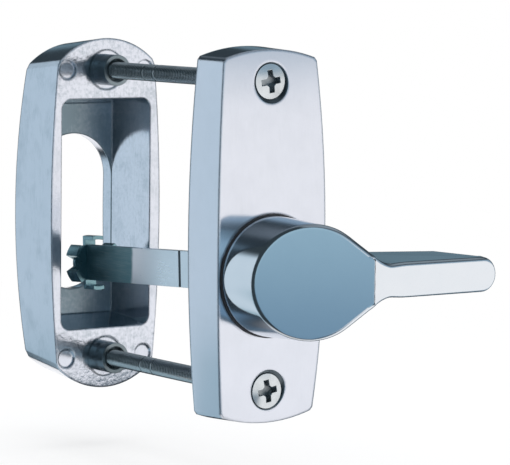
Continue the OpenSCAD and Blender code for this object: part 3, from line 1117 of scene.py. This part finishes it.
@dataclass
class Studio:
    """The white floor and room, the screen of cards, and the soft box overhead.

    Sizes are in metres. The floor shows its own white by floor_white near the object, and wholly
    beyond floor_fade.
    """

    cards: Sequence[Card]
    screen: Colour = (0.035, 0.050, 0.060)
    room: Colour = (0.45, 0.47, 0.50)
    paper: Colour = (0.92, 0.92, 0.92)
    centre: Place = (0.0, -0.010, 0.005)
    screen_r: float = 0.6
    screen_h: float = 0.7
    floor_r: float = 30.0
    floor_gap: float = 1.0 * MM
    floor_fade: Span = (0.12, 0.5)
    floor_white: float = 0.75
    sides: int = 96
    box_side: float = 1.4
    box_height: float = 1.2
    box_power: float = 15.0
    tiny: float = 1.0 * MM

    def build(self) -> None:
        """Sets up the floor, the room, the screen and the soft box."""
        bpy.context.scene.view_settings.view_transform = "Standard"
        lever_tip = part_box("thumb_turn")[1].x
        self._floor(-lever_tip - self.floor_gap)
        self._room()
        self._screen(-lever_tip - self.floor_gap / 2)
        self._soft_box()
        log.info("studio with %d cards", len(self.cards))

    @staticmethod
    def _shown(graph: Graph) -> Field:
        """Finds the rays that show a background: straight to the camera, mirrored or through glass.

        Args:
            graph: the background's graph.

        Returns:
            One for those rays, zero for the others.
        """
        path = graph.node("ShaderNodeLightPath").outputs
        kinds = ("Is Camera Ray", "Is Glossy Ray", "Is Transmission Ray")
        camera, mirrored, through = (Field(graph, path[kind]) for kind in kinds)
        return (camera + mirrored + through).least(1.0)

    def _floor(self, level: float) -> None:
        """Lays a wide pale floor that shows white and keeps the object's shadow.

        Args:
            level: its height, clear of the lever's tip when the lever points down.
        """
        made = bmesh.new()
        bmesh.ops.create_circle(made, cap_ends=True, segments=self.sides, radius=self.floor_r)
        bmesh.ops.translate(made, verts=made.verts, vec=(0.0, 0.0, level))
        paper, graph = new_material("floor_paper")
        x, y, _ = graph.axes(graph.place())
        far = length(x, y).step(*self.floor_fade)
        white_share = self._shown(graph) * (far * (1.0 - self.floor_white) + self.floor_white)
        lit = graph.node("ShaderNodeBsdfDiffuse", inputs={"Color": self.paper})
        white = graph.node("ShaderNodeEmission", inputs={"Color": WHITE, "Strength": 1.0})
        graph.show(graph.mix(white_share, lit, white))
        floor = link(bpy.data.objects.new("floor", as_mesh(made, "floor", paper)))

    def _room(self) -> None:
        """Gives the room a plain light, and a white look."""
        world = bpy.data.worlds.new("studio")
        world.use_nodes = True
        bpy.context.scene.world = world
        graph = Graph(world.node_tree)
        room = graph.node("ShaderNodeBackground", inputs={"Color": self.room, "Strength": 1.0})
        white = graph.node("ShaderNodeBackground", inputs={"Color": WHITE, "Strength": 1.0})
        graph.show(graph.mix(self._shown(graph), room, white), "ShaderNodeOutputWorld")

    def _screen(self, foot: float) -> None:
        """Stands the screen of cards round the object, where only its reflections show it.

        Args:
            foot: the height that it stands at.
        """
        made = bmesh.new()
        bmesh.ops.create_cone(made, cap_ends=True, segments=self.sides, radius1=self.screen_r,
                              radius2=self.screen_r, depth=self.screen_h)
        middle = Vector((self.centre[0], self.centre[1], foot + self.screen_h / 2))
        bmesh.ops.translate(made, verts=made.verts, vec=middle)
        mesh = as_mesh(made, "card_screen", self._card_paper())
        screen = link(bpy.data.objects.new("card_screen", mesh))
        screen.visible_camera = False
        screen.visible_diffuse = False
        screen.visible_shadow = False

    def _card_paper(self) -> bpy.types.Material:
        """Paints the cards on the screen, by their direction from its centre.

        Returns:
            The screen's material.
        """
        paper, graph = new_material("card_paper")
        x, y, z = (axis - middle for axis, middle in zip(graph.axes(graph.place()), self.centre))
        level = length(x, y).most(self.tiny)
        rise = z / length(x, y, z).most(self.tiny)
        colour: Value = self.screen
        solid: Operand = 1.0
        for card in self.cards:
            cover = card.cover(x / level, y / level, rise)
            if card.colour is None:
                solid = solid * (1.0 - cover)
            else:
                colour = graph.blend(cover, colour, card.colour)
        opening = graph.node("ShaderNodeBsdfTransparent")
        card_light = graph.node("ShaderNodeEmission", inputs={"Color": colour, "Strength": 1.0})
        graph.show(graph.mix(solid, opening, card_light))
        return paper

    def _soft_box(self) -> None:
        """Hangs the soft box over the object."""
        lamp = bpy.data.lights.new("soft_box", "AREA")
        lamp.size = self.box_side
        lamp.energy = self.box_power
        box = link(bpy.data.objects.new("soft_box", lamp))
        box.location = (0.0, 0.0, self.box_height)
        box.visible_glossy = False


@dataclass(frozen=True)
class ProductCamera:
    """The camera of the product photograph. Lengths are in metres and angles in degrees."""

    bearing: float = -35.06
    height: float = 5.32
    roll: float = 0.646
    distance: float = 0.848985
    target: Place = (0.0, 0.030, 0.0105)
    right_of_target: float = 0.019973
    above_target: float = -0.001965
    focal_px: float = 3019.0
    image_w_px: float = 510.0
    sensor_mm: float = 36.0
    clip: Span = (0.01, 100.0)

    def build(self) -> bpy.types.Object:
        """Places the camera and makes it the scene's.

        Returns:
            The camera object.
        """
        turn, lift, roll = (math.radians(v) for v in (self.bearing, self.height, self.roll))
        level = math.cos(lift)
        back = Vector((math.sin(turn) * level, -math.cos(turn) * level, math.sin(lift)))
        right = Vector((math.cos(turn), math.sin(turn), 0.0))
        up = back.cross(right)
        middle = Vector(self.target) + right * self.right_of_target + up * self.above_target
        side = right * math.cos(roll) + up * math.sin(roll)
        top = up * math.cos(roll) - right * math.sin(roll)
        lens = bpy.data.cameras.new("product_camera")
        lens.sensor_fit = "HORIZONTAL"
        lens.sensor_width = self.sensor_mm
        lens.lens = self.focal_px / self.image_w_px * self.sensor_mm
        lens.clip_start, lens.clip_end = self.clip
        camera = link(bpy.data.objects.new("product_camera", lens))
        turned = Matrix((side, top, back)).transposed().to_4x4()
        camera.matrix_world = Matrix.Translation(middle + back * self.distance) @ turned
        bpy.context.scene.camera = camera
        return camera


CHROME: Colour = (0.77, 0.79, 0.86)
SCREW_ZS: Span = (middle_z("upper_screw"), middle_z("lower_screw"))

# Its shade colour is also the painted shade on the countersinks.
PLATE_CHROME = SunkChrome(
    "plate_chrome", CHROME, (0.16, 0.19, 0.21), gloss=0.12, cloud=0.05, marks=0.04, share=0.02,
    mottle=0.12, lay=Lay.UPRIGHT, ripple=0.01, edge=1.1 * MM, sink_r=6.1 * MM, sink_y=-7.0 * MM,
    axis_zs=SCREW_ZS)
# Its shade colour is also the painted shade on the pocket's back.
HOUSING_CHROME = CastChrome(
    "housing_chrome", CHROME, (0.27, 0.345, 0.385), gloss=0.12, cloud=0.05, marks=0.04, share=0.04,
    lay=Lay.UPRIGHT, ripple=0.05, edge=0.8 * MM, door_y=DOOR_Y, mid_z=middle_z("outer_housing"),
    pocket_half=15.1 * MM, pocket_tall=33.5 * MM, pocket_d=18.3 * MM, end_rise=30.0 * MM)
TURN_CHROME = MetalFinish(
    "turn_chrome", (0.80, 0.83, 0.87), (0.74, 0.78, 0.83), gloss=0.09, cloud=0.05, marks=0.03,
    ripple=0.01, edge=0.4 * MM)
# Its shade colour is also the painted shade in the thread, the cross recess and behind the plate.
SCREW_NICKEL = ThreadedSteel(
    "screw_nickel", (0.74, 0.77, 0.79), (0.08, 0.10, 0.105), gloss=0.22, share=0.05,
    edge=0.15 * MM, root_r=2.05 * MM, crest_r=2.42 * MM, head_y=-11.4 * MM, axis_zs=SCREW_ZS)
PILLAR_ZINC = MetalFinish(
    "pillar_zinc", (0.30, 0.35, 0.37), (0.14, 0.18, 0.20), gloss=0.30, edge=0.25 * MM)
# Its shade colour is the painted shade on the blade's end inside the pocket.
BLADE_STEEL = ShadedEndBlade(
    "blade_steel", (0.84, 0.89, 0.94), (0.19, 0.34, 0.38), gloss=0.30, marks=0.10, share=0.05,
    mottle=0.15, lay=Lay.ALONG, edge=0.2 * MM, shade_start_y=55.0 * MM)
STAR_STEEL = MetalFinish(
    "star_blued_steel", (0.27, 0.43, 0.47), (0.15, 0.27, 0.30), gloss=0.26, edge=0.2 * MM)
SPRING_STEEL = MetalFinish(
    "spring_blued_steel", (0.32, 0.36, 0.40), (0.20, 0.23, 0.27), gloss=0.28, lay=Lay.UPRIGHT,
    edge=0.1 * MM)
TURNED_STEEL = MetalFinish(
    "turned_steel", (0.66, 0.67, 0.69), (0.50, 0.51, 0.54), gloss=0.22, edge=0.15 * MM)
STAMPED_ZINC = MetalFinish(
    "stamped_zinc", (0.55, 0.58, 0.60), (0.42, 0.45, 0.46), gloss=0.30, lay=Lay.ACROSS,
    edge=0.15 * MM)
BUSH_BRASS = MetalFinish(
    "bush_brass", (0.75, 0.58, 0.30), (0.58, 0.43, 0.20), gloss=0.24, edge=0.15 * MM)
RING_NYLON = MouldedFinish("ring_nylon", (0.020, 0.020, 0.024), (0.045, 0.045, 0.05), gloss=0.45)

BEARING_FINISHES = {
    "bearing_bush": BUSH_BRASS,
    "spindle": TURNED_STEEL,
    "disc_spring": SPRING_STEEL,
    "thrust_washer": TURNED_STEEL,
    "index_cam": STAMPED_ZINC,
    "shim_washer": TURNED_STEEL,
    "retaining_ring": SPRING_STEEL,
    "stop_pins": TURNED_STEEL,
    "index_spring": SPRING_STEEL,
    "tail_pin": TURNED_STEEL,
}

CARDS: tuple[Card, ...] = (
    Card(bearing=90.0, half_width=100.0, low=42.0, high=90.0, colour=(0.26, 0.31, 0.35), soft=8.0),
    Card(bearing=143.0, half_width=36.0, low=11.0, high=18.5, colour=(0.14, 0.22, 0.27), soft=2.0),
    Card(bearing=45.0, half_width=42.0, low=-90.0, high=-20.0, colour=(0.10, 0.16, 0.21), soft=6.0),
    Card(bearing=45.0, half_width=42.0, low=-28.0, high=28.0, colour=(0.30, 0.42, 0.52), soft=6.0),
    Card(bearing=-12.0, half_width=15.0, low=-50.0, high=30.0, colour=(0.19, 0.32, 0.44)),
    Card(bearing=-12.0, half_width=15.0, low=-6.0, high=30.0, colour=(0.36, 0.54, 0.65)),
    Card(bearing=-140.0, half_width=30.0, low=-90.0, high=26.0, colour=(0.52, 0.65, 0.74)),
    Card(bearing=-140.0, half_width=30.0, low=-90.0, high=-15.0, colour=(0.38, 0.52, 0.60), soft=6.0),
    Card(bearing=-122.0, half_width=8.0, low=-18.0, high=26.0, colour=(0.64, 0.75, 0.83), soft=6.0),
    Card(bearing=-140.0, half_width=3.0, low=-50.0, high=26.0, colour=(0.64, 0.75, 0.83), soft=3.0),
    Card(bearing=41.0, half_width=37.0, low=-24.0, high=10.0, soft=5.0),
    Card(bearing=42.0, half_width=23.0, low=-80.0, high=-18.0, soft=4.0),
    Card(bearing=141.0, half_width=38.0, low=-28.0, high=3.0, soft=3.0),
    Card(bearing=-20.0, half_width=80.0, low=-90.0, high=-62.0, soft=5.0),
)


def main() -> None:
    """Dresses the object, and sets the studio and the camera."""
    logging.basicConfig(level=logging.INFO, format="%(name)s: %(message)s")
    ProductCamera().build()
    Studio(CARDS).build()
    Castings(PLATE_CHROME, HOUSING_CHROME, PILLAR_ZINC).dress()
    ThumbTurn(TURN_CHROME).build()
    FixingScrew("upper_screw", "upper_bolt", SCREW_NICKEL).build()
    FixingScrew("lower_screw", "lower_bolt", SCREW_NICKEL).build()
    TailDrive(BLADE_STEEL, STAR_STEEL).dress()
    Bearing(RING_NYLON, BEARING_FINISHES).dress()


if __name__ == "__main__":
    main()
